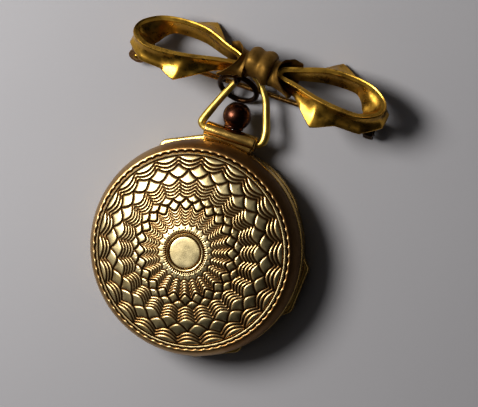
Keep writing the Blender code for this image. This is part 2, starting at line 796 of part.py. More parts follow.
RIGHT_FRONT = [
    (2.65, 0.75, 0.7), (5.0, 1.6, 0.95), (8.5, 2.65, 1.2),
    (12.0, 2.7, 1.25), (15.0, 1.95, 1.25), (17.0, 0.2, 1.2),
    (16.9, -1.8, 1.2), (14.8, -3.1, 1.2), (12.0, -3.2, 1.25),
    (8.7, -2.7, 1.2), (5.2, -1.6, 0.95), (2.65, -0.75, 0.7),
]
RIGHT_BACK = [
    (2.65, 0.8, 0), (5.2, 1.85, 0), (9.3, 5.35, 0),
    (12.2, 3.7, 0), (15.3, 2.5, 0), (17.4, 0.2, 0),
    (17.3, -2.0, 0), (14.9, -3.9, 0), (11.6, -3.9, 0),
    (8.8, -5.3, 0), (5.4, -1.9, 0), (2.65, -0.8, 0),
]
LEFT_FRONT = [
    (-2.65, 0.75, 0.7), (-5.0, 1.6, 0.95), (-8.2, 2.75, 1.2),
    (-11.6, 2.9, 1.25), (-14.6, 2.2, 1.25), (-16.7, 0.5, 1.2),
    (-16.8, -1.5, 1.2), (-14.9, -2.9, 1.2), (-12.2, -3.1, 1.25),
    (-9.2, -2.7, 1.2), (-5.4, -1.6, 0.95), (-2.65, -0.75, 0.7),
]
LEFT_BACK = [
    (-2.65, 0.8, 0), (-5.0, 1.85, 0), (-8.0, 5.35, 0),
    (-11.9, 3.8, 0), (-15.0, 2.8, 0), (-17.1, 0.5, 0),
    (-17.2, -1.7, 0), (-15.0, -3.7, 0), (-12.2, -3.9, 0),
    (-9.9, -5.0, 0), (-5.6, -1.9, 0), (-2.65, -0.8, 0),
]
ribbon_loop("right_loop", RIGHT_FRONT, RIGHT_BACK, BOW_LOOK)
ribbon_loop("left_loop", LEFT_FRONT, LEFT_BACK, BOW_LOOK)


def oval(x, half_y, half_z, centre=(0, 0), steps=24):
    return [
        (
            x,
            centre[0] + half_y * math.cos(2 * math.pi * k / steps),
            centre[1] + half_z * math.sin(2 * math.pi * k / steps),
        )
        for k in range(steps)
    ]


pleats = [(1.7, 2.2, 1.55), (1.5, 2.5, 1.8), (0.95, 2.65, 1.95), (0.3, 2.4, 1.75)]
knot_rings = [oval(-x, y, z, KNOT_FORWARD) for x, y, z in pleats] + [
    oval(x, y, z, KNOT_FORWARD) for x, y, z in pleats[::-1]
]
loft("knot_band", knot_rings, (OLD_GOLD, 0.4, 1.0), parent=BROOCH)
for name, side in (("knot_flare_left", -1), ("knot_flare_right", 1)):
    outer = [(1.75, 1.95, 1.35), (2.4, 1.85, 1.33), (3.2, 2.05, 1.5), (4.0, 2.35, 1.65), (4.75, 2.75, 1.8)]
    inner = [(4.9, 2.55, 1.65), (4.0, 2.0, 1.35), (3.0, 1.65, 1.22), (2.2, 1.45, 1.08)]
    rings = [oval(side * x, y, z) for x, y, z in outer + inner]
    loft(name, rings, (OLD_GOLD, 0.4, 1.0), parent=BROOCH)

# The hanger is a small staple behind the left flare; the link ring runs through it.
staple = [
    (-0.4, -1.44), (-0.36, -1.85), (-0.62, -2.25), (-1.1, -2.42), (-1.6, -2.25), (-1.95, -1.8),
    (-2.14, -1.0), (-2.16, -0.3),
]
wire("hanger_eye", [(EYE_AT[0], y, z) for y, z in staple], 0.25, (DARK, 0.4, 1.0), sides=8, parent=BROOCH)

CHEEK_R = 1.15
CHEEK_AT = (0.5, 0.9)
lug = block(
    "pin_hinge_lug",
    (-0.65, -CHEEK_AT[1], 0.9),
    (0.75, CHEEK_AT[1], LOOP_BACK_Z - PIN_Z),
    BOW_LOOK,
    at=(HINGE_X, PIN_Y, PIN_Z),
    parent=BROOCH,
)
for side in (-1, 1):
    cheek = revolve(
        f"cheek_{side}",
        [
            (0.36, side * CHEEK_AT[0]),
            (CHEEK_R, side * CHEEK_AT[0]),
            (CHEEK_R, side * CHEEK_AT[1]),
            (0.36, side * CHEEK_AT[1]),
        ],
        BOW_LOOK,
        steps=24,
        axis="Y",
        at=(HINGE_X, PIN_Y, PIN_Z),
        parent=BROOCH,
    )
    boolean(lug, helper(cheek), "UNION")
rivet = [(0, -1.15), (0.4, -1.1), (0.5, -0.95), (0.3, -0.93), (0.3, 0.93), (0.5, 0.95), (0.4, 1.1), (0, 1.15)]
revolve(
    "pin_hinge_rivet",
    rivet,
    (OLD_GOLD, 0.35, 1.0),
    steps=16,
    axis="Y",
    at=(HINGE_X, PIN_Y, PIN_Z),
    parent=BROOCH,
)

length = CATCH_X + 0.9 - HINGE_X
stem_path = [(0.5, 0, 0), (1.2, 0, 0), (length * 0.6, 0, 0), (length - 3, 0, 0), (length, 0, 0)]
pin = wire(
    "pin_stem",
    stem_path,
    [STEM_PIN_R, STEM_PIN_R, STEM_PIN_R, 0.28, 0.08],
    (GOLD, 0.3, 1.0),
    sides=10,
    at=(HINGE_X, PIN_Y, PIN_Z),
    parent=BROOCH,
)
knuckle = revolve(
    "pin_knuckle",
    [(0.35, -0.44), (0.8, -0.44), (0.8, 0.44), (0.35, 0.44)],
    BOW_LOOK,
    steps=20,
    axis="Y",
    at=(HINGE_X, PIN_Y, PIN_Z),
    parent=BROOCH,
)
boolean(pin, helper(knuckle), "UNION")


def open_ring(name, inner, outer, mouth, thick, look):
    """A C-shaped piece about the pin's line, open towards the back."""
    start, stop = math.radians(-90 + mouth), math.radians(270 - mouth)
    angles = [start + (stop - start) * k / 18 for k in range(19)]
    outline = [(outer * math.cos(a), outer * math.sin(a)) for a in angles]
    outline += [(inner * math.cos(a), inner * math.sin(a)) for a in reversed(angles)]
    made = plate(name, [outline], -thick / 2, thick / 2, look, at=(CATCH_X, PIN_Y, PIN_Z), parent=BROOCH)
    made.rotation_euler = Matrix(((0, 0, 1), (1, 0, 0), (0, 1, 0))).to_euler()
    return made


catch = open_ring("catch_body", 0.86, 1.4, 42, 0.8, (DARK, 0.45, 1.0))
foot = block(
    "catch_foot",
    (-0.4, -0.5, 1.1),
    (0.8, 0.5, LOOP_BACK_Z - PIN_Z),
    BOW_LOOK,
    at=(CATCH_X, PIN_Y, PIN_Z),
    parent=BROOCH,
)
boolean(catch, helper(foot), "UNION")
lock = open_ring("catch_lock", 0.5, 0.8, 48, 1.5, (DARK, 0.4, 1.0))
tab = block(
    "lock_tab", (-0.75, 0.6, -0.2), (-0.46, 1.5, 0.2), BOW_LOOK, at=(CATCH_X, PIN_Y, PIN_Z), parent=BROOCH
)
boolean(lock, helper(tab), "UNION")
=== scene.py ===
"""The looks of the fob watch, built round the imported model.

Lengths are in millimetres, in two frames. The watch frame has its axis at x = y = 0, twelve o'clock at +y
and the table at z = 0. The brooch frame has x along the bow, y to its top edge and z out of its front.
"""

import json
import math

import bpy
import numpy as np
from mathutils import Matrix, Vector


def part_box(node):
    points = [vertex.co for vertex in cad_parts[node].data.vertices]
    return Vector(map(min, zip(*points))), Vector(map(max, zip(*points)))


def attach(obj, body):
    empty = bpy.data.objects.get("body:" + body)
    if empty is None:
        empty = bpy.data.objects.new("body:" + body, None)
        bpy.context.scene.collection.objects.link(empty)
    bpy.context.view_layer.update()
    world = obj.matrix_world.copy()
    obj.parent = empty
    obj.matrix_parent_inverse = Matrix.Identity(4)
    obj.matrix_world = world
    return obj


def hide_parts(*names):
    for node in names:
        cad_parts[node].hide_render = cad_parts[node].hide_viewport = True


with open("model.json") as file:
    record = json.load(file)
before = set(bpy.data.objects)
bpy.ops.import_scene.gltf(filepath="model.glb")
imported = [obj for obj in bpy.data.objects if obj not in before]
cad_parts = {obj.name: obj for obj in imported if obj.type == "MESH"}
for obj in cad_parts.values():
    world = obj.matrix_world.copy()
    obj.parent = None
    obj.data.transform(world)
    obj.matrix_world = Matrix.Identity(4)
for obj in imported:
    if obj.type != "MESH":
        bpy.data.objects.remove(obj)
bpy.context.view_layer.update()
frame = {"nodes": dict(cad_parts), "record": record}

MM = 0.001


# ---------------------------------------------------------------- frames and measures

def middle(node):
    low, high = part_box(node)
    return (Vector(low) + Vector(high)) / 2 / MM


def millimetres(node):
    low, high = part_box(node)
    return Vector(low) / MM, Vector(high) / MM


case_low, case_high = millimetres("case_middle")
AXIS = Vector(((case_low.x + case_high.x) / 2, (case_low.y + case_high.y) / 2, 0.0))
CASE_R = (case_high.x - case_low.x) / 2
STEM_Z = middle("winding_stem").z
BAR_Y = 15.05
BROOCH_TILT = math.radians(-41.0)
KNOT_FORWARD = 0.3
BROOCH_TURN = Matrix.Rotation(BROOCH_TILT, 4, "X")
STIRRUP_PITCH = math.radians(-9.0)

WATCH = Matrix.Translation(AXIS)
BROOCH = Matrix.Translation(middle("knot_band") - BROOCH_TURN @ Vector((0, 0, KNOT_FORWARD))) @ BROOCH_TURN
STIRRUP = Matrix.Translation(AXIS + Vector((0, BAR_Y, STEM_Z))) @ Matrix.Rotation(STIRRUP_PITCH, 4, "X")


# ---------------------------------------------------------------- materials

class Tree:
    """A material's nodes, with short ways to add and join them."""

    def __init__(self, name):
        self.material = bpy.data.materials.new(name)
        self.material.use_nodes = True
        self.nodes = self.material.node_tree.nodes
        self.links = self.material.node_tree.links
        self.shader = self.nodes["Principled BSDF"]
        self.place = self.add("ShaderNodeTexCoord").outputs["Object"]

    def add(self, kind, inputs=None, **settings):
        node = self.nodes.new(kind)
        for key, value in settings.items():
            setattr(node, key, value)
        for key, value in (inputs or {}).items():
            if isinstance(value, bpy.types.NodeSocket):
                self.links.new(value, node.inputs[key])
            else:
                node.inputs[key].default_value = value
        return node

    def noise(self, scale, detail=3.0, stretch=(1, 1, 1), rough=0.5):
        place = self.add("ShaderNodeMapping", {"Vector": self.place, "Scale": stretch}).outputs[0]
        settings = {"Vector": place, "Scale": scale, "Detail": detail, "Roughness": rough}
        return self.add("ShaderNodeTexNoise", settings).outputs[0]

    def ramp(self, value, low, high, bottom=0.0, top=1.0):
        settings = {"Value": value, "From Min": low, "From Max": high, "To Min": bottom, "To Max": top}
        return self.add("ShaderNodeMapRange", settings).outputs[0]

    def mix(self, share, first, second):
        node = self.nodes.new("ShaderNodeMix")
        node.data_type = "RGBA"
        for place, value in ((0, share), (6, first), (7, second)):
            if isinstance(value, bpy.types.NodeSocket):
                self.links.new(value, node.inputs[place])
            else:
                node.inputs[place].default_value = value if place == 0 else (*value, 1.0)
        return node.outputs[2]

    def maths(self, operation, first, second, clamp=False):
        inputs = {0: first, 1: second}
        return self.add("ShaderNodeMath", inputs, operation=operation, use_clamp=clamp).outputs[0]

    def attribute(self, name):
        return self.add("ShaderNodeAttribute", attribute_name=name).outputs["Fac"]

    def hollow(self, reach):
        """1 in the piece's own hollows and corners, 0 in the open."""
        node = self.add("ShaderNodeAmbientOcclusion", {"Distance": reach}, samples=12, only_local=True)
        return self.maths("SUBTRACT", 1.0, node.outputs["AO"])

    def bump(self, height, distance, normal=None):
        inputs = {"Height": height, "Distance": distance}
        if normal:
            inputs["Normal"] = normal
        return self.add("ShaderNodeBump", inputs).outputs[0]

    def wire(self, socket, value):
        if isinstance(value, bpy.types.NodeSocket):
            self.links.new(value, self.shader.inputs[socket])
        else:
            self.shader.inputs[socket].default_value = value


PIT_DEPTH = 0.004
SCRATCH_DEPTH = 0.0032
GOLD_BRIGHT = (0.76, 0.54, 0.18)
GOLD_DEEP = (0.50, 0.31, 0.08)
BROWN = (0.055, 0.024, 0.007)
BLACK_BROWN = (0.010, 0.006, 0.003)
RED_BROWN = (0.34, 0.15, 0.035)
VERDIGRIS = (0.10, 0.28, 0.20)


def worn_metal(name, bright, deep, tarnish_and_shade, rough=(0.22, 0.42), stain=0.35, hollow=0.9, reach=0.7,
               groove=False, bloom=None):
    """Old metal: bright and deep clouds, stains, specks, pits and scratches, dark in its hollows.

    The dark colour is tarnish in stains, specks, small hollows and engraved grooves, and painted shade where
    the hollow reach is long, as on the bow, and on the back's skirt. bloom is corrosion.
    """
    tree = Tree(name)
    colour = tree.mix(tree.ramp(tree.noise(260, 4.0), 0.35, 0.68), bright, deep)
    stains = tree.ramp(tree.noise(620, 6.0, rough=0.65), 0.56, 0.72, 0.0, stain)
    colour = tree.mix(stains, colour, tarnish_and_shade)
    if groove:
        cut = tree.attribute("groove")
        colour = tree.mix(tree.ramp(cut, 0.03, 0.3, 0.0, 0.85), colour, RED_BROWN)
        depth = tree.ramp(cut, 0.2, 0.88)
    else:
        depth = tree.ramp(tree.hollow(reach * MM), 0.12, 0.62, 0.0, hollow)
    # Darkening in the hollows: tarnish, and painted shade where the reach is long or where the groove
    # attribute holds the skirt's painted shade.
    colour = tree.mix(depth, colour, tarnish_and_shade)
    if bloom:
        patches = tree.ramp(tree.noise(1500, 4.0), 0.5, 0.6)
        corners = tree.ramp(tree.hollow(0.5 * MM), 0.15, 0.4)
        colour = tree.mix(tree.maths("MULTIPLY", patches, corners), colour, bloom)
    specks = tree.ramp(tree.noise(4200, 2.0), 0.66, 0.74, 0.0, 0.55)
    tree.wire("Base Color", tree.mix(specks, colour, tarnish_and_shade))
    smear = tree.ramp(tree.noise(900, 4.0), 0.35, 0.7, *rough)
    tree.wire("Roughness", tree.maths("ADD", smear, tree.maths("MULTIPLY", depth, 0.25), clamp=True))
    tree.wire("Metallic", 1.0)
    pits = tree.bump(tree.noise(5200, 3.0), PIT_DEPTH * MM)
    scratches = tree.noise(1400, 2.0, stretch=(1.0, 9.0, 1.0))
    tree.wire("Normal", tree.bump(scratches, SCRATCH_DEPTH * MM, normal=pits))
    return tree.material


LOOKS = {
    "case": worn_metal(
        "case_gilt", GOLD_BRIGHT, GOLD_DEEP, BROWN, (0.22, 0.36), 0.4),
    "back": worn_metal(
        "engraved_gilt", (0.88, 0.74, 0.42), (0.68, 0.53, 0.26), BLACK_BROWN, (0.33, 0.44), 0.16,
        groove=True),
    "stirrup": worn_metal(
        "stirrup_gilt", (0.74, 0.55, 0.15), (0.46, 0.31, 0.08), BROWN, (0.36, 0.54), 0.6),
    "bar": worn_metal(
        "bar_gilt", (0.82, 0.56, 0.18), (0.44, 0.24, 0.06), BROWN, (0.16, 0.3), 0.45, bloom=VERDIGRIS),
    # The bow's long hollow reach paints shade on the band's inner walls, over its tarnish.
    "bow": worn_metal(
        "bow_gilt", (0.72, 0.44, 0.08), (0.38, 0.21, 0.035), (0.03, 0.012, 0.003), (0.24, 0.44), 0.75,
        hollow=1.0, reach=2.3),
    "knot": worn_metal(
        "knot_gilt", (0.29, 0.17, 0.045), (0.14, 0.08, 0.02), (0.02, 0.010, 0.004), (0.52, 0.72), 0.6,
        reach=1.0),
    "pin": worn_metal(
        "pin_gilt", (0.42, 0.24, 0.07), (0.22, 0.11, 0.035), BROWN, (0.22, 0.4), 0.5),
    "dark": worn_metal(
        "dark_patina", (0.07, 0.035, 0.014), (0.02, 0.010, 0.006), BLACK_BROWN, (0.2, 0.45), 0.5),
    "crown": worn_metal(
        "crown_copper", (0.15, 0.062, 0.037), (0.066, 0.026, 0.016), BLACK_BROWN, (0.22, 0.36), 0.7),
    "steel": worn_metal(
        "steel", (0.62, 0.62, 0.63), (0.46, 0.46, 0.48), (0.12, 0.11, 0.10), (0.2, 0.35), 0.15),
    "gilt": worn_metal(
        "movement_gilt", (0.86, 0.68, 0.36), (0.74, 0.55, 0.25), (0.2, 0.12, 0.05), (0.28, 0.42), 0.12),
    "blued": worn_metal(
        "blued_steel", (0.05, 0.08, 0.32), (0.02, 0.03, 0.16), (0.01, 0.01, 0.03), (0.15, 0.3), 0.2),
}


def glass():
    tree = Tree("crystal_glass")
    tree.shader.inputs["Base Color"].default_value = (0.97, 0.98, 0.97, 1.0)
    tree.shader.inputs["Transmission Weight"].default_value = 1.0
    tree.shader.inputs["IOR"].default_value = 1.47
    haze = tree.ramp(tree.noise(700, 5.0, stretch=(1, 6, 1)), 0.55, 0.8, 0.02, 0.14)
    tree.wire("Roughness", haze)
    return tree.material


def enamel():
    """An off-white dial, yellowed in clouds, with faint brown specks."""
    tree = Tree("dial_enamel")
    clouds = tree.ramp(tree.noise(180, 3.0), 0.35, 0.7)
    colour = tree.mix(clouds, (0.84, 0.82, 0.74), (0.74, 0.68, 0.55))
    specks = tree.ramp(tree.noise(3800, 2.0), 0.72, 0.78, 0.0, 0.5)
    tree.wire("Base Color", tree.mix(specks, colour, (0.25, 0.16, 0.08)))
    tree.wire("Roughness", tree.ramp(tree.noise(900), 0.3, 0.7, 0.22, 0.4))
    tree.wire("Normal", tree.bump(tree.noise(2600, 3.0), 0.004 * MM))
    return tree.material


def ink():
    tree = Tree("dial_print")
    fading = tree.ramp(tree.noise(2500), 0.3, 0.7)
    tree.wire("Base Color", tree.mix(fading, (0.012, 0.011, 0.012), (0.05, 0.04, 0.035)))
    tree.wire("Roughness", tree.ramp(tree.noise(1800), 0.3, 0.7, 0.35, 0.6))
    return tree.material


LOOKS["glass"] = glass()
LOOKS["enamel"] = enamel()
LOOKS["ink"] = ink()


# ---------------------------------------------------------------- building meshes

def piece(name, points, faces, look, body, stands_for=(), slot=None, at=WATCH, sharp=45.0, fields=None):
    """One visible piece from points in the frame 'at', riding on a body."""
    points = np.asarray(points, float)
    turn = np.array(at)
    mesh = bpy.data.meshes.new(name)
    mesh.from_pydata((points @ turn[:3, :3].T + turn[:3, 3]) * MM, [], faces)
    mesh.validate()
    for field, values in (fields or {}).items():
        layer = mesh.attributes.new(field, "FLOAT", "POINT")
        layer.data.foreach_set("value", np.asarray(values, np.float32))
    mesh.shade_smooth()
    mesh.set_sharp_from_angle(angle=math.radians(sharp))
    mesh.materials.append(LOOKS[look])
    made = bpy.data.objects.new(name, mesh)
    bpy.context.scene.collection.objects.link(made)
    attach(made, body)
    if stands_for:
        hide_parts(*stands_for)
    return made


def skin(rows, count, closed):
    """Faces over rows of 'count' points each, outward when rows run up and points run anticlockwise."""
    faces = []
    for i in range(rows if closed else rows - 1):
        near = i * count
        far = (i + 1) % rows * count
        for k in range(count):
            after = (k + 1) % count
            faces.append((near + k, near + after, far + after, far + k))
    if not closed:
        faces.append(tuple(range(count))[::-1])
        faces.append(tuple(range((rows - 1) * count, rows * count)))
    return faces


def outward(points, faces):
    """The same faces, turned round if together they hold a negative volume."""
    total = 0.0
    cloud = np.asarray(points, float)
    for face in faces:
        a = cloud[face[0]]
        for b, c in zip(face[1:-1], face[2:]):
            total += np.dot(a, np.cross(cloud[b], cloud[c]))
    return faces if total > 0 else [f[::-1] for f in faces]


def spline(control, per_span, closed=False):
    """A smooth run through control points of any dimension."""
    points = [Vector(p) for p in control]
    count = len(points)
    out = []
    for i in range(count if closed else count - 1):
        around = [(i + j) % count if closed else min(max(i + j, 0), count - 1) for j in (-1, 0, 1, 2)]
        a, b, c, d = (points[j] for j in around)
        for k in range(per_span):
            t = k / per_span
            bend = (2 * a - 5 * b + 4 * c - d) * t**2 + (3 * b - a - 3 * c + d) * t**3
            out.append(b + 0.5 * ((c - a) * t + bend))
    if not closed:
        out.append(points[-1])
    return out


FILLET_STEPS = 4


def rounded(outline, fillet, closed=False):
    """An outline of plane points with its corners rounded."""
    points = [Vector(p) for p in outline]
    out = []
    for i, here in enumerate(points):
        if not closed and i in (0, len(points) - 1):
            out.append(here)
            continue
        behind = points[i - 1] - here
        ahead = points[(i + 1) % len(points)] - here
        reach = min(fillet, 0.45 * behind.length, 0.45 * ahead.length)
        start = here + behind.normalized() * reach
        stop = here + ahead.normalized() * reach
        for k in range(FILLET_STEPS + 1):
            t = k / FILLET_STEPS
            out.append(start * (1 - t) ** 2 + here * 2 * t * (1 - t) + stop * t**2)
    return out


def lathe(profile, steps, axis="Z", bend=None):
    """Points and faces of a profile of (radius, height) turned about an axis.

    A profile that starts off the axis is a closed ring. bend(angle, radius, height) may move a point.
    """
    ring = profile[0][0] > 1e-6
    points, rows = [], []
    for radius, height in profile:
        row = []
        for k in range(1 if radius < 1e-6 else steps):
            angle = 2 * math.pi * k / steps
            r, h = bend(angle, radius, height) if bend else (radius, height)
            across = (r * math.cos(angle), r * math.sin(angle))
            place = {"Z": (*across, h), "Y": (across[1], h, across[0]), "X": (h, *across)}[axis]
            row.append(len(points))
            points.append(Vector(place))
        rows.append(row * steps if len(row) == 1 else row)
    faces = []
    for i in range(len(rows) if ring else len(rows) - 1):
        low, high = rows[i], rows[(i + 1) % len(rows)]
        for k in range(steps):
            after = (k + 1) % steps
            corners = tuple(dict.fromkeys((low[k], low[after], high[after], high[k])))
            if len(corners) > 2:
                faces.append(corners)
    return points, outward(points, faces)


def tube(path, radius, sides, closed=False):
    """A wire along a path. radius is one size or one for each point."""
    points = [Vector(p) for p in path]
    count = len(points)
    cloud = []
    normal = None
    for i, here in enumerate(points):
        ahead = points[(i + 1) % count] if closed or i + 1 < count else here
        behind = points[i - 1] if closed or i else here
        along = (ahead - behind).normalized()
        if normal is None:
            normal = along.orthogonal() if abs(along.z) > 0.9 else along.cross(Vector((0, 0, 1)))
        normal = (normal - along * normal.dot(along)).normalized()
        side = along.cross(normal)
        size = radius[i] if isinstance(radius, (list, tuple)) else radius
        for k in range(sides):
            turn = 2 * math.pi * k / sides
            cloud.append(here + (normal * math.cos(turn) + side * math.sin(turn)) * size)
    return cloud, outward(cloud, skin(count, sides, closed))


def joined(*parts):
    """Several (points, faces) as one."""
    points, faces = [], []
    for more, corners in parts:
        start = len(points)
        points += [Vector(p) for p in more]
        faces += [tuple(start + i for i in face) for face in corners]
    return points, faces


def slab(outline, low, high, fillet=0.08, to=None):
    """A flat piece with rounded edges from one outline, between two heights."""
    flat = [Vector(p) for p in outline]
    area = sum(a.x * b.y - b.x * a.y for a, b in zip(flat, flat[1:] + flat[:1]))
    if area < 0:
        flat.reverse()
    count = len(flat)
    cloud = []
    layers = [(fillet, low), (fillet * 0.3, low + fillet * 0.3), (0, low + fillet), (0, high - fillet),
              (fillet * 0.3, high - fillet * 0.3), (fillet, high)]
    for inset, height in layers:
        for i, here in enumerate(flat):
            a = (here - flat[i - 1]).normalized()
            b = (flat[(i + 1) % count] - here).normalized()
            inward = Vector((-(a.y + b.y), a.x + b.x))
            inward = inward.normalized() if inward.length > 1e-6 else Vector((0, 0))
            spot = here + inward * inset
            cloud.append(Vector((spot.x, spot.y, height)))
    if to:
        cloud = [to @ p for p in cloud]
    return cloud, outward(cloud, skin(len(layers), count, False))


# ---------------------------------------------------------------- engraved back

DOME_R = 12.75
DOME_Z = 6.9
DOME_RISE = 2.8
SHELL = 0.62
COVER_BASE_Z = 4.45
REPEATS = 24
STEPS_PER_REPEAT = 24
PITCH = 2 * math.pi / REPEATS
CUSP_AT = math.radians(9.0)
# The scalloped lines from the border inwards: (radius at the cusps, radius at mid-arc, moved half a
# repeat round, half width, depth).
CELLS = [(10.4, 9.42, 1, 0.1, 1.0), (6.92, 6.3, 1, 0.1, 1.0), (6.25, 5.42, 0, 0.1, 1.0)]
NESTED_OUT = [(12.05 - 0.44 * k, 11.42 - 0.5 * k, 0, 0.1, 1.0) for k in range(3)]
NESTED_MID = [(9.3 - 0.46 * k, 8.6 - 0.41 * k, 0, 0.085, 0.9) for k in range(5)]
NESTED_IN = [(5.7 - 0.46 * k, 4.95 - 0.37 * k, 0, 0.08, 0.6) for k in range(5)]
LINES = NESTED_OUT + CELLS + NESTED_MID + NESTED_IN
# Plain turned lines, (radius, half width, depth): two round the centre disc and one inside the rope border.
RINGS = ((2.08, 0.07, 1.0), (2.54, 0.06, 1.0), (12.2, 0.075, 1.1))
# Raised turned ridges, (radius, half width, height).
RIDGES = ((2.31, 0.09, 0.12), (12.38, 0.08, 0.08))
RELIEF = 0.15
PILLOW = 0.08
PILLOW_REACH = 0.28
ROPE_R = 12.62
ROPE_WAVES = 72
BEAD_R = 2.74
BEADS = 60
DASH_R = 3.1
# The angle where the skirt's painted shade is darkest, turned from the key lamp.
SKIRT_SHADE_SIDE = math.radians(35.0)


def dome(radius):
    return DOME_Z + DOME_RISE * (1 - (radius / DOME_R) ** 2)


def hump(away, half_width):
    return np.exp(-((away / half_width) ** 2))


def relief(radius, angle):
    """Height over the dome and how deep in a groove each point is, from arrays of radius and angle."""
    share = ((angle - CUSP_AT) / PITCH) % 1.0
    cuts = [(np.abs(radius - ring), width, depth) for ring, width, depth in RINGS]
    for cusp, arc, moved, width, depth in LINES:
        swing = 2 * ((share + 0.5 * moved) % 1.0) - 1
        line = cusp - (cusp - arc) * (1 - swing**2)
        slope = (cusp - arc) * 4 * swing / PITCH / np.maximum(line, 0.5)
        cuts.append((np.abs(radius - line) / np.sqrt(1 + slope**2), width, depth))
    rope = ROPE_R + 0.12 * np.abs(np.sin(angle * ROPE_WAVES / 2))
    cuts.append((np.abs(radius - rope), 0.11, 1.2))
    groove = np.maximum.reduce([depth * hump(away, width) for away, width, depth in cuts])
    nearest = np.minimum.reduce([away for away, _, _ in cuts])
    beads = hump(radius - BEAD_R, 0.1) * np.abs(np.sin(angle * BEADS / 2)) ** 3
    dashes = hump(radius - DASH_R, 0.14) * np.maximum(0, np.cos(angle * REPEATS)) ** 4
    groove = np.maximum(groove, np.maximum(beads * 0.8, dashes * 0.45))
    field = np.clip((radius - 2.1) / 0.1, 0, 1) * np.clip((12.9 - radius) / 0.2, 0, 1)
    height = PILLOW * (1 - np.exp(-nearest / PILLOW_REACH)) * field - RELIEF * groove
    for ridge, width, rise in RIDGES:
        height += rise * hump(radius - ridge, width)
    return height, groove


# The cover below its engraving: down its side, in under its rim and up its inside.
SKIRT = [(12.98, 6.84), (13.1, 6.78), (13.32, 6.55), (13.58, 6.1), (13.76, 5.6), (13.87, 5.15), (13.93, 4.8),
         (13.94, 4.58), (13.9, 4.48), (13.84, COVER_BASE_Z), (13.2, COVER_BASE_Z), (13.12, 4.52), (13.1, 5.3),
         (12.7, 6.1), (10.5, dome(10.5) - SHELL), (6.0, dome(6.0) - SHELL)]


def engraved_back():
    """Points, faces and each point's share of groove. On the skirt that share is brown tarnish all round plus
    painted shade, strongest on its dark side.
    """
    steps = REPEATS * STEPS_PER_REPEAT
    angle = 2 * math.pi * np.arange(steps) / steps
    points, groove = [(0.0, 0.0, dome(1.0))], [0.0]
    rings = [0.7, 1.4, 1.85, 1.95, *np.arange(2.0, 5.9, 0.055), *np.arange(5.93, 12.92, 0.09)]
    for r in rings:
        height, depth = relief(np.full(steps, r), angle)
        points += list(zip(r * np.cos(angle), r * np.sin(angle), dome(max(r, 1.4)) + height))
        groove += list(depth)
    for r, height in SKIRT:
        points += [(r * math.cos(a), r * math.sin(a), height) for a in angle]
        # The skirt: brown tarnish all round, plus painted shade that grows towards the side turned from the
        # key lamp.
        groove += list(0.24 + 0.46 * np.maximum(0.0, np.cos(angle - SKIRT_SHADE_SIDE)) ** 0.6)
    rows = len(rings) + len(SKIRT)
    after = [(k + 1) % steps for k in range(steps)]
    faces = [(0, 1 + k, 1 + after[k]) for k in range(steps)]
    for i in range(rows - 1):
        near = 1 + i * steps
        far = near + steps
        faces += [(near + k, far + k, far + after[k], near + after[k]) for k in range(steps)]
    last = 1 + (rows - 1) * steps
    points.append((0.0, 0.0, dome(0.0) - SHELL))
    groove.append(0.0)
    faces += [(last + after[k], last + k, len(points) - 1) for k in range(steps)]
    return points, faces, {"groove": groove}


back_points, back_faces, back_fields = engraved_back()
piece("engraved_back", back_points, back_faces, "back", "cover", ["back_cover"], "gold", fields=back_fields)


# ---------------------------------------------------------------- case, crystal and dial

LOBES = 6
LOBE_PITCH = 360.0 / LOBES
LOBE_TURN = -5.0
LOBE_TIP_HALF = 11.2
LOBE_FADE = 7.3
LOBE_CORNER_R = 14.55
LOBE_FLAT_R = LOBE_CORNER_R * math.cos(math.radians(LOBE_TIP_HALF))
LOBE_ROOT_R = 13.1
BEZEL_R = 13.75
LOW_LOBE = (25.0, 85.0)
LOW_LOBE_RISE = 0.2


def lobed(angle, radius, height):
    """Six flat-topped lobes on the bezel's rim. The one at the upper right is low."""
    if radius < LOBE_ROOT_R:
        return radius, height
    degrees = math.degrees(angle)
    away = abs((degrees - LOBE_TURN + LOBE_PITCH / 2) % LOBE_PITCH - LOBE_PITCH / 2)
    fade = 0.5 + 0.5 * math.cos(math.pi * min(max((away - LOBE_TIP_HALF) / LOBE_FADE, 0.0), 1.0))
    outer = min((radius - LOBE_ROOT_R) / 0.5, 1.0)
    if LOW_LOBE[0] < degrees < LOW_LOBE[1]:
        return radius + LOW_LOBE_RISE * fade * outer, height
    flat = LOBE_FLAT_R / math.cos(math.radians(min(away, LOBE_TIP_HALF)))
    grown = BEZEL_R + (flat - BEZEL_R) * fade
    return radius * (1 + (grown / BEZEL_R - 1) * outer), height


bezel_profile = rounded(
    [(10.3, 0.25), (10.55, 0.0), (12.6, 0.0), (13.2, 0.35), (BEZEL_R, 1.1), (BEZEL_R, 1.85),
     (13.6, 2.2), (11.45, 2.2), (11.45, 1.05), (11.05, 1.0), (11.05, 0.25)], 0.22, closed=True)
piece("bezel_rim", *lathe(bezel_profile, 360, bend=lobed), "case", "case", ["bezel"], "gold", sharp=60)
middle_profile = rounded(
    [(12.75, 2.26), (13.62, 2.26), (13.78, 2.42), (13.8, 2.55), (13.93, 2.7), (14.0, 3.4),
     (13.95, 4.1), (13.82, 4.22), (13.8, 4.38), (12.75, 4.39)], 0.12, closed=True)
piece("case_band", *lathe(middle_profile, 240), "case", "case", ["case_middle"], "gold", sharp=60)
crystal_profile = [
    (0, 0.24), (4, 0.25), (8, 0.32), (10.3, 0.42), (10.9, 0.5), (11.0, 0.6), (11.0, 0.94), (10.9, 0.95),
    (7, 0.95), (0, 0.95)]
piece("watch_crystal", *lathe(crystal_profile, 160), "glass", "case", ["crystal"], "glass", sharp=50)

# The dial faces the table. Its print stands 0.03 proud of its face.
DIAL_FACE = 2.05
PRINT_TOP = DIAL_FACE - 0.03
dial_profile = rounded([(0.8, DIAL_FACE), (11.3, DIAL_FACE), (11.3, 2.3), (0.8, 2.3)], 0.06, closed=True)
piece("dial_plate", *lathe(dial_profile, 160), "enamel", "case", ["dial"], "white")
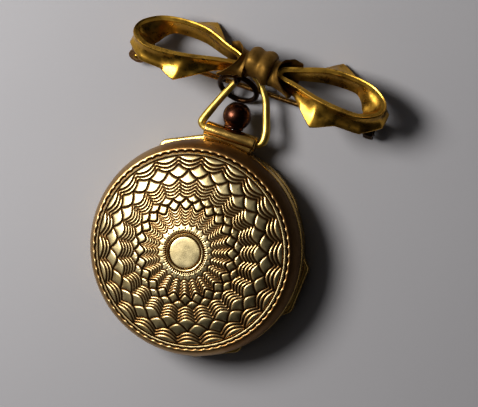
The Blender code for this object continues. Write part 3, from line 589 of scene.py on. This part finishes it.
# The figures' strokes in a cell 1 wide and 2 high.
STROKES = {
    "0": [[(0.5 + 0.5 * math.cos(t), 1 + math.sin(t)) for t in (k * math.pi / 8 for k in range(17))]],
    "1": [[(0.15, 1.6), (0.5, 2), (0.5, 0)]],
    "2": [[(0, 1.5), (0.2, 1.9), (0.6, 2), (1, 1.65), (0.9, 1.15), (0, 0), (1, 0)]],
    "3": [[(0, 1.75), (0.5, 2), (0.95, 1.6), (0.45, 1.1), (1, 0.6), (0.5, 0), (0, 0.25)]],
    "4": [[(0.8, 0), (0.8, 2), (0, 0.6), (1.05, 0.6)]],
    "5": [[(0.95, 2), (0.15, 2), (0.1, 1.2), (0.6, 1.25), (1, 0.7), (0.55, 0), (0, 0.15)]],
    "6": [[(0.85, 1.95), (0.3, 1.5), (0, 0.7), (0.4, 0), (0.95, 0.35), (0.9, 0.95), (0.45, 1.15),
           (0.05, 0.7)]],
    "7": [[(0, 2), (1, 2), (0.35, 0)]],
    "8": [[(0.5, 1.1), (0.1, 1.5), (0.5, 2), (0.9, 1.5), (0.5, 1.1), (0, 0.55), (0.5, 0), (1, 0.55),
           (0.5, 1.1)]],
    "9": [[(0.15, 0.05), (0.7, 0.5), (1, 1.3), (0.6, 2), (0.05, 1.65), (0.1, 1.05), (0.55, 0.85),
           (0.95, 1.3)]],
}
FIGURE_R = 8.6
FIGURE_HALF_HIGH = 0.85
FIGURE_ADVANCE = 0.95
STROKE_HALF = 0.11


def stroke(path, half):
    """A flat line of ink along a path of plane points."""
    flat = [Vector(p) for p in path]
    points = []
    for i, here in enumerate(flat):
        along = flat[min(i + 1, len(flat) - 1)] - flat[max(i - 1, 0)]
        side = Vector((-along.y, along.x)).normalized() * half
        left, right = here + side, here - side
        points += [(*left, PRINT_TOP), (*right, PRINT_TOP), (*right, DIAL_FACE), (*left, DIAL_FACE)]
    return points, outward(points, skin(len(flat), 4, False))


def dial_print():
    marks = []
    for k in range(60):
        turn = Matrix.Rotation(2 * math.pi * k / 60, 2)
        half = 0.11 if k % 5 == 0 else 0.045
        marks.append(stroke([turn @ Vector((0, 9.9)), turn @ Vector((0, 10.35))], half))
    for number in range(1, 13):
        angle = math.radians(90 + 30 * number)
        centre = Vector((math.cos(angle), math.sin(angle))) * FIGURE_R
        digits = str(number)
        middle_x = (FIGURE_ADVANCE * len(digits) - 0.2) / 2
        for place, digit in enumerate(digits):
            for path in STROKES[digit]:
                run = []
                for x, y in path:
                    across = x * FIGURE_HALF_HIGH * 0.8 + place * FIGURE_ADVANCE - middle_x
                    run.append(centre + Vector((-across, (y - 1) * FIGURE_HALF_HIGH)))
                marks.append(stroke(run, STROKE_HALF))
    return joined(*marks)


piece("dial_print", *dial_print(), "ink", "case", slot="dark")


def hand(name, node, body, shape, low, high, bore, boss):
    """A hand with a rounded boss about its pipe."""
    blade = slab(shape, low, high, 0.04)
    ring = [(bore, low - 0.06), (boss, low - 0.06), (boss, high), (bore, high)]
    cap = lathe(rounded(ring, 0.05, closed=True), 40)
    piece(name, *joined(blade, cap), "blued", body, [node], "steel", sharp=35)


def spade(length, width, tail):
    """A hand pointing to twelve: tail, waist, spade and point."""
    half = [(0.22, -tail), (0.42, -0.5), (0.62, 0.0), (0.4, 0.7), (0.22, 1.2), (0.2, length * 0.58),
            (width * 0.45, length * 0.66), (width, length * 0.74), (width * 0.55, length * 0.85),
            (0.06, length)]
    return half + [(-x, y) for x, y in half[::-1]]


hand("hour_spade", "hour_hand", "hour", spade(5.9, 0.7, 1.0), 1.62, 1.77, bore=0.5, boss=0.74)
hand("minute_spade", "minute_hand", "minute", spade(8.9, 0.45, 1.5), 1.28, 1.43, bore=0.28, boss=0.5)


# ---------------------------------------------------------------- bar, crown and stirrup

bar_low, bar_high = millimetres("pendant_bar")
BAR_HALF = (bar_high.x - bar_low.x) / 2
BAR_R = (bar_high.z - bar_low.z) / 2
BAR_FRAME = WATCH @ Matrix.Translation((0, BAR_Y, STEM_Z))


def bar():
    """A round bar with a dimple at each end, on a seat that follows the case's side."""
    ends = BAR_HALF - 0.12
    chamfer = 0.16
    profile = [(0, -ends), (0.3, -ends), (0.42, -BAR_HALF), (BAR_R - chamfer, -BAR_HALF),
               (BAR_R, -BAR_HALF + chamfer), (BAR_R, BAR_HALF - chamfer), (BAR_R - chamfer, BAR_HALF),
               (0.42, BAR_HALF), (0.3, ends), (0, ends)]
    core = lathe(rounded(profile, 0.08), 96, axis="X")
    foot = [(x / 10, math.sqrt(CASE_R**2 - (x / 10) ** 2) - BAR_Y - 0.01) for x in range(-32, 33, 4)]
    seat = slab(foot + [(3.3, -0.2), (3.2, 0.15), (-3.2, 0.15), (-3.3, -0.2)], -0.78, 0.78, 0.16)
    return joined(core, seat)


piece("bow_bar", *bar(), "bar", "case", ["pendant_bar"], "gold", at=BAR_FRAME, sharp=50)

crown_low, crown_high = millimetres("crown")
BALL_R = (crown_high.x - crown_low.x) / 2
BALL_Y = crown_high.y - BALL_R
CROWN_FRAME = Matrix.Translation(((crown_low.x + crown_high.x) / 2, BALL_Y, STEM_Z))


def crown():
    """A ball on a short collar that starts just clear of the bar."""
    foot = AXIS.y + BAR_Y + BAR_R + 0.06 - BALL_Y
    turns = [math.radians(a) for a in range(44, 180, 4)]
    arc = [(BALL_R * math.sin(a), -BALL_R * math.cos(a)) for a in turns]
    collar = [(0, foot), (1.2, foot), (1.3, foot + 0.1), (1.26, foot + 0.3)]
    return lathe(collar + arc + [(0, BALL_R)], 72, axis="Y")


piece("ball_crown", *crown(), "crown", "crown_stem", ["crown"], "copper", at=CROWN_FRAME, sharp=60)

STIRRUP_PATH = [(-2.7, 0, 0), (-3.6, 0, 0), (-4.2, 0.55, 0), (-3.9, 1.75, 0), (-2.9, 4.2, 0),
                (-1.75, 6.7, 0), (-1.1, 7.95, 0), (-0.1, 8.35, 0), (1.1, 7.75, 0), (2.65, 6.0, 0),
                (3.5, 3.9, 0), (4.15, 1.9, 0), (4.2, 0.65, 0), (3.6, 0, 0), (2.7, 0, 0)]
PIVOT_R = 0.4
LEG_R = 0.58
THINNER_PER_MM = 0.022


def ease(share):
    """0 to 1 with level ends."""
    t = min(max(share, 0.0), 1.0)
    return t * t * (3 - 2 * t)


def stirrup():
    """Wire that is thin in the bar, full at the legs and thinner again towards the top."""
    path = spline(STIRRUP_PATH, 8)
    sizes = []
    for p in path:
        leg = LEG_R - THINNER_PER_MM * max(p.y, 0.0)
        wear = 0.012 * math.sin(p.y * 2.3 + p.x)
        sizes.append(PIVOT_R + (leg - PIVOT_R) * ease(p.y / 0.7) + wear)
    return tube(path, sizes, 28)


piece("stirrup_bow", *stirrup(), "stirrup", "stirrup", ["stirrup"], "gold", at=STIRRUP)


# ---------------------------------------------------------------- ring and staple

def joint_at(name):
    """Where a joint is, in the brooch frame."""
    spot = next(j["pos_m"] for j in frame["record"]["behaviour"]["joints"] if j["name"] == name)
    return BROOCH.inverted() @ (Vector(spot) / MM)


HINGE = joint_at("pin_open")
CATCH = joint_at("catch_turn")
EYE = joint_at("ring_swing")
RING_R = 2.5
RING_WIRE_R = 0.36


def ring():
    turns = [2 * math.pi * k / 96 for k in range(96)]
    path = [(RING_R * math.cos(a), 0, RING_R * math.sin(a) - RING_R) for a in turns]
    sizes = [RING_WIRE_R * (1 - 0.05 * math.sin(3 * a + 1) ** 2) for a in turns]
    return tube(path, sizes, 24, closed=True)


RING_FRAME = BROOCH @ Matrix.Translation(EYE)
piece("hanging_ring", *ring(), "dark", "ring", ["link_ring"], "dark", at=RING_FRAME)
STAPLE_WIRE_R = 0.25
STAPLE = [(-0.4, -1.44), (-0.36, -1.85), (-0.62, -2.25), (-1.1, -2.42), (-1.6, -2.25), (-1.95, -1.8),
          (-2.14, -1.0), (-2.16, -0.3)]
staple = tube(spline([(EYE.x, y, z) for y, z in STAPLE], 8), STAPLE_WIRE_R, 20)
piece("hanger_staple", *staple, "dark", "brooch", ["hanger_eye"], "dark", at=BROOCH)


# ---------------------------------------------------------------- bow

WALL = 0.75
PER_SPAN = 14
CORNER_Y = 4.9
# Each loop's front edge line as (x, y, half height of the band) and its back edge line, which has the
# pointed corners.
LOOPS = {
    "right": (
        [(2.65, 0.75, 0.7), (5.0, 1.6, 0.95), (8.5, 2.65, 1.2), (12.0, 2.7, 1.25), (15.0, 1.95, 1.25),
         (17.0, 0.2, 1.2), (16.9, -1.8, 1.2), (14.8, -3.1, 1.2), (12.0, -3.2, 1.25), (8.7, -2.7, 1.2),
         (5.2, -1.6, 0.95), (2.65, -0.75, 0.7)],
        [(2.65, 0.8, 0), (5.2, 1.85, 0), (9.3, 5.35, 0), (12.2, 3.7, 0), (15.3, 2.5, 0), (17.4, 0.2, 0),
         (17.3, -2.0, 0), (14.9, -3.9, 0), (11.6, -3.9, 0), (8.8, -5.3, 0), (5.4, -1.9, 0),
         (2.65, -0.8, 0)]),
    "left": (
        [(-2.65, 0.75, 0.7), (-5.0, 1.6, 0.95), (-8.2, 2.75, 1.2), (-11.6, 2.9, 1.25), (-14.6, 2.2, 1.25),
         (-16.7, 0.5, 1.2), (-16.8, -1.5, 1.2), (-14.9, -2.9, 1.2), (-12.2, -3.1, 1.25), (-9.2, -2.7, 1.2),
         (-5.4, -1.6, 0.95), (-2.65, -0.75, 0.7)],
        [(-2.65, 0.8, 0), (-5.0, 1.85, 0), (-8.0, 5.35, 0), (-11.9, 3.8, 0), (-15.0, 2.8, 0),
         (-17.1, 0.5, 0), (-17.2, -1.7, 0), (-15.0, -3.7, 0), (-12.2, -3.9, 0), (-9.9, -5.0, 0),
         (-5.6, -1.9, 0), (-2.65, -0.8, 0)]),
}


def ribbon_section(half, phase, crease, slant):
    """Points round the band's wall: (share of the way in, height, share from back edge line to front)."""
    ripple = 0.035 * math.sin(phase)
    front = [(0.0, half - 0.2, 1), (0.03, half - 0.07, 1), (0.12, half, 1), (0.24, half - 0.02, 1),
             (0.31, half - 0.1, 1), (0.4, half - 0.13, 1), (0.8, half - 0.12, 1), (0.95, half - 0.16, 1),
             (1.0, half - 0.27, 1)]
    inner = []
    for t in (k / 7 for k in range(1, 7)):
        hollow = 0.97 - 0.2 * math.sin(math.pi * t) + slant * t**0.7 + ripple
        inner.append((hollow, half - 0.27 + (0.4 - 2 * half) * t, 1))
    back = [(0.93 + slant, -half + 0.12, 1), (0.8 + slant, -half, 0.9), (0.4, -half, 0.3), (0.0, -half, 0.0),
            (-0.03, -half + 0.1, 0.0), (-0.02, -half + 0.28, 0.0)]
    outer = []
    for t in (k / 6 for k in range(1, 6)):
        hollow = (0.28 - crease) * math.sin(math.pi * t) + ripple
        outer.append((hollow, -half + 0.28 + (2 * half - 0.48) * t, t**0.7))
    return front + inner + back + outer


def loop(side):
    """A band that stands on edge and runs out from the knot, round its end and back."""
    front, back = LOOPS[side]
    ahead = spline(front, PER_SPAN, closed=True)
    behind = []
    for i, point in enumerate(spline(back, PER_SPAN, closed=True)):
        span, part = divmod(i, PER_SPAN)
        straight = Vector(back[span]).lerp(Vector(back[(span + 1) % len(back)]), part / PER_SPAN)
        behind.append(point.lerp(straight, 0.75))
    corners = [PER_SPAN * back.index(p) for p in back if abs(p[1]) > CORNER_Y]
    centre = sum(ahead, Vector((0, 0, 0))) / len(ahead)
    points = []
    size = 0
    for i, (f, b) in enumerate(zip(ahead, behind)):
        run = ahead[(i + 1) % len(ahead)] - ahead[i - 1]
        inward = Vector((-run.y, run.x, 0)).normalized()
        if inward.dot(Vector((centre.x - f.x, centre.y - f.y, 0))) < 0:
            inward = -inward
        away = min(abs(i - corner) for corner in corners) / PER_SPAN
        crease = 0.16 * math.cos(away * 5.2) * math.exp(-((away / 1.1) ** 2))
        slant = 0.25 + 2.3 * ease((abs(f.x) - 12.2) / 3.6)
        section = ribbon_section(f.z, i * 0.21, crease, slant)
        size = len(section)
        for share, height, ahead_share in section:
            edge = Vector((b.x, b.y, 0)).lerp(Vector((f.x, f.y, 0)), ahead_share)
            points.append((*(edge + inward * share * WALL).xy, height))
    return points, outward(points, skin(len(ahead), size, True))


for side in LOOPS:
    piece(f"{side}_ribbon", *loop(side), "bow", "brooch", [f"{side}_loop"], "old_gold", at=BROOCH, sharp=50)


OVAL_STEPS = 96


def ovals(rows, flutes, depth, centre_z=0.0, cut=0.0):
    """Rings about the bow's length from (x, half height, half depth, share of the fluting).

    cut draws the far rows' front back towards the knot, which opens the mouth to the front.
    """
    points = []
    for x, half_y, half_z, share in rows:
        for k in range(OVAL_STEPS):
            a = 2 * math.pi * k / OVAL_STEPS
            grow = 1 + depth * share * math.cos(flutes * a + 0.6) + 0.006 * math.sin(5 * a + x * 3)
            back = cut * max(0.0, math.sin(a)) ** 1.2 * max(0.0, abs(x) - 2.0)
            place = x - math.copysign(back, x)
            points.append((place, half_y * grow * math.cos(a), centre_z + half_z * grow * math.sin(a)))
    return points


def lower_share(x):
    """The knot's lower side is cut back towards the left, where the stirrup passes over it."""
    return 0.5 + 0.34 * ease((x + 0.9) / 2.2)


def knot():
    """Two pleats with a dip between them, as (x, half height, half depth)."""
    ridge = [(1.72, 2.12, 1.48), (1.68, 2.28, 1.62), (1.56, 2.42, 1.76), (1.36, 2.55, 1.87),
             (1.1, 2.63, 1.94), (0.8, 2.64, 1.95), (0.52, 2.57, 1.89), (0.3, 2.46, 1.8), (0.12, 2.39, 1.73)]
    rows = [(-x, y, z, 1.0) for x, y, z in ridge] + [(0.0, 2.36, 1.71, 1.0)]
    rows += [(x, y, z, 1.0) for x, y, z in ridge[::-1]]
    points = ovals(rows, flutes=9, depth=0.008, centre_z=KNOT_FORWARD)
    points = [(x, y * (lower_share(x) if y < 0 else 1.0), z) for x, y, z in points]
    return points, outward(points, skin(len(rows), OVAL_STEPS, False))


def flare(side):
    """A collar that widens away from the knot and turns back in on itself."""
    outer = spline([(1.75, 1.95, 1.35), (2.4, 1.85, 1.33), (3.2, 2.05, 1.5), (4.0, 2.35, 1.65),
                    (4.75, 2.75, 1.8)], 5)
    inner = spline([(4.9, 2.62, 1.68), (4.6, 2.3, 1.5), (4.0, 2.0, 1.35), (3.0, 1.65, 1.22),
                    (2.2, 1.45, 1.08)], 4)
    rows = [(side * p.x, p.y, p.z, max(0.0, (p.x - 2.0) / 2.8)) for p in outer + inner]
    points = ovals(rows, flutes=11, depth=0.02, cut=0.8)
    return points, outward(points, skin(len(rows), OVAL_STEPS, True))


piece("knot_wrap", *knot(), "knot", "brooch", ["knot_band"], "old_gold", at=BROOCH, sharp=50)
for name, side in (("left", -1), ("right", 1)):
    node = f"knot_flare_{name}"
    piece(f"{name}_flare", *flare(side), "knot", "brooch", [node], "old_gold", at=BROOCH, sharp=50)


# ---------------------------------------------------------------- pin, hinge and catch

PIN_FRAME = BROOCH @ Matrix.Translation(HINGE)
CATCH_FRAME = BROOCH @ Matrix.Translation(CATCH)
BEHIND = -1.3
CHEEK = (0.5, 0.9)
CHEEK_R = 1.15
BORE_R = 0.34


def hinge_lug():
    """Two round cheeks and the web that joins them to the bow."""
    parts = []
    for side in (-1, 1):
        low, high = sorted(side * c for c in CHEEK)
        profile = rounded([(BORE_R, low), (CHEEK_R, low), (CHEEK_R, high), (BORE_R, high)], 0.09, closed=True)
        parts.append(lathe(profile, 56, axis="Y"))
    on_edge = Matrix(((0, 0, 1, 0), (1, 0, 0, 0), (0, 1, 0, 0), (0, 0, 0, 1)))
    half, top = CHEEK[1], BEHIND - HINGE.z
    web = rounded([(-half, 0.9), (half, 0.9), (half, top), (-half, top)], 0.15, closed=True)
    parts.append(slab(web, -0.65, 0.75, 0.08, to=on_edge))
    return joined(*parts)


piece("hinge_lug", *hinge_lug(), "pin", "brooch", ["pin_hinge_lug"], "old_gold", at=PIN_FRAME, sharp=45)
RIVET = [(0, -1.15), (0.2, -1.14), (0.36, -1.09), (0.47, -1.0), (0.5, -0.92), (0.32, -0.91), (0.3, 0.91),
         (0.5, 0.92), (0.47, 1.0), (0.36, 1.09), (0.2, 1.14), (0, 1.15)]
rivet = lathe(RIVET, 40, axis="Y")
piece("hinge_rivet", *rivet, "bow", "brooch", ["pin_hinge_rivet"], "old_gold", at=PIN_FRAME)
PIN_LENGTH = CATCH.x + 0.9 - HINGE.x
PIN_FROM = 0.5
PIN_WIRE_R = 0.34
POINT_FROM = 0.72


def pin():
    """A wire, slightly bent, with a knuckle at the hinge and a tapered point."""
    path, sizes = [], []
    for t in (k / 60 for k in range(61)):
        along = PIN_FROM + (PIN_LENGTH - PIN_FROM) * t
        path.append((along, 0.03 * math.sin(5 * t), 0.05 * math.sin(math.pi * t)))
        taper = max(0.0, (t - POINT_FROM) / (1 - POINT_FROM)) ** 1.4
        sizes.append(PIN_WIRE_R - 0.28 * taper)
    knuckle = rounded([(0.3, -0.44), (0.8, -0.44), (0.8, 0.44), (0.3, 0.44)], 0.1, closed=True)
    return joined(tube(path, sizes, 24), lathe(knuckle, 48, axis="Y"))


piece("pin_wire", *pin(), "pin", "pin", ["pin_stem"], "gold", at=PIN_FRAME)


def squared(value):
    """A sine or cosine pushed outwards, which makes a round section a squarish one."""
    return math.copysign(abs(value) ** 0.6, value)


def c_ring(inner, outer, mouth, thick, knobs=0.0):
    """A ring about the pin's line, open towards the back, its outer side knobbly if asked."""
    start, stop = math.radians(-90 + mouth), math.radians(270 - mouth)
    rows, sides = 64, 24
    points = []
    for k in range(rows):
        angle = start + (stop - start) * k / (rows - 1)
        for i in range(sides):
            across = squared(math.cos(2 * math.pi * i / sides))
            along = squared(math.sin(2 * math.pi * i / sides))
            bulge = 1 + knobs * max(0.0, across) * math.cos(angle * 9)
            r = (inner + outer) / 2 + (outer - inner) / 2 * across * bulge
            x = thick / 2 * along * (1 + knobs * 0.4 * math.sin(angle * 7))
            points.append((x, r * math.cos(angle), r * math.sin(angle)))
    return points, outward(points, skin(rows, sides, False))


on_side = Matrix(((1, 0, 0, 0), (0, 0, 1, 0), (0, -1, 0, 0), (0, 0, 0, 1)))
foot_top = CATCH.z - BEHIND
foot_outline = rounded([(-0.4, -1.1), (0.8, -1.1), (0.8, foot_top), (-0.4, foot_top)], 0.15, closed=True)
catch = joined(c_ring(0.86, 1.36, 42, 1.3, 0.12), slab(foot_outline, -0.5, 0.5, 0.1, to=on_side))
piece("catch_hook", *catch, "dark", "brooch", ["catch_body"], "dark", at=CATCH_FRAME)
tab_outline = rounded([(-0.75, 0.6), (-0.46, 0.6), (-0.46, 1.5), (-0.75, 1.5)], 0.1, closed=True)
lock = joined(c_ring(0.5, 0.8, 48, 1.5), slab(tab_outline, -0.2, 0.2, 0.06))
piece("catch_sleeve", *lock, "dark", "lock", ["catch_lock"], "dark", at=CATCH_FRAME)


# ---------------------------------------------------------------- movement finishes

NODE_LOOKS = {
    "steel": ("winding_stem", "winding_pinion", "clutch_wheel", "crown_wheel", "ratchet_wheel", "click",
              "setting_lever", "barrel_arbor", "pallet_fork", "escape_wheel", "cannon_pinion", "mainspring"),
    "blued": ("hairspring", *(f"bridge_screw_{k}" for k in range(1, 6))),
}
for name, made in frame["nodes"].items():
    look = next((k for k, names in NODE_LOOKS.items() if name in names), "gilt")
    made.data.materials.clear()
    made.data.materials.append(LOOKS[look])


# ---------------------------------------------------------------- camera, light and floor

BACK = Vector((0.205, 0.1666, 0.9645)).normalized()
RIGHT = Vector((0.926, 0.2862, -0.2463))
RIGHT = (RIGHT - BACK * RIGHT.dot(BACK)).normalized()
UP = BACK.cross(RIGHT)
CAMERA_AT = AXIS + Vector((74.9072, 65.1281, 339.1172))
LENS = 204.9
# Directions towards the lamps, and the point they shine at, in metres.
KEY_FROM = Vector((-0.602, 0.155, 0.784)).normalized()
FILL_FROM = Vector((-0.75, 0.35, 0.4)).normalized()
LAMPS_POINT_AT = AXIS * MM + Vector((0, 0.006, 0.003))

camera = bpy.data.objects.new("camera", bpy.data.cameras.new("camera"))
camera.data.lens = LENS
camera.data.sensor_width = 36.0
camera.data.clip_start = 0.01
camera.data.clip_end = 10.0
camera.matrix_world = Matrix.Translation(CAMERA_AT * MM) @ Matrix((RIGHT, UP, BACK)).transposed().to_4x4()
bpy.context.scene.collection.objects.link(camera)
bpy.context.scene.camera = camera


def lamp(name, towards, away, size, power, colour):
    """A round lamp in a direction from the watch, its distance and size in metres."""
    light = bpy.data.lights.new(name, "AREA")
    light.shape = "DISK"
    light.size = size
    light.energy = power
    light.color = colour
    made = bpy.data.objects.new(name, light)
    made.rotation_mode = "QUATERNION"
    made.location = LAMPS_POINT_AT + towards * away
    made.rotation_quaternion = towards.to_track_quat("Z", "Y")
    bpy.context.scene.collection.objects.link(made)


lamp("key", KEY_FROM, 0.2, 0.1, 0.43, (1.0, 0.98, 0.95))
lamp("fill", FILL_FROM, 0.7, 0.6, 0.12, (0.96, 0.97, 1.0))


def studio():
    """The room: pale towards the lamp, dark on the far side, so that the metal shades from left to right."""
    world = bpy.data.worlds.new("studio")
    world.use_nodes = True
    nodes, links = world.node_tree.nodes, world.node_tree.links
    sky = nodes["Background"]
    sky.inputs["Color"].default_value = (0.92, 0.90, 0.90, 1.0)
    towards_lamp = nodes.new("ShaderNodeVectorMath")
    towards_lamp.operation = "DOT_PRODUCT"
    towards_lamp.inputs[1].default_value = Vector((-0.85, 0.25, 0.35)).normalized()
    links.new(nodes.new("ShaderNodeTexCoord").outputs["Generated"], towards_lamp.inputs[0])
    level = nodes.new("ShaderNodeMapRange")
    level.interpolation_type = "SMOOTHSTEP"
    for socket, value in (("From Min", -0.1), ("From Max", 0.9), ("To Min", 0.012), ("To Max", 0.2)):
        level.inputs[socket].default_value = value
    links.new(towards_lamp.outputs["Value"], level.inputs["Value"])
    links.new(level.outputs[0], sky.inputs["Strength"])
    return world


bpy.context.scene.world = studio()
bpy.context.scene.view_settings.view_transform = "Standard"
bpy.context.scene.view_settings.look = "Medium High Contrast"

# Half the floor's side, in metres.
FLOOR_HALF = 1.5
paper = Tree("floor_paper")
paper.wire("Base Color", paper.mix(paper.noise(6.0, 2.0), (0.35, 0.346, 0.364), (0.38, 0.376, 0.394)))
paper.wire("Roughness", paper.ramp(paper.noise(40), 0.3, 0.7, 0.75, 0.9))
paper.wire("Normal", paper.bump(paper.noise(1500, 3.0), 0.01 * MM))
floor_mesh = bpy.data.meshes.new("floor")
corners = [(x * FLOOR_HALF, y * FLOOR_HALF, 0) for x, y in ((-1, -1), (1, -1), (1, 1), (-1, 1))]
floor_mesh.from_pydata(corners, [], [(0, 1, 2, 3)])
floor_mesh.materials.append(paper.material)
floor = bpy.data.objects.new("floor", floor_mesh)
bpy.context.scene.collection.objects.link(floor)
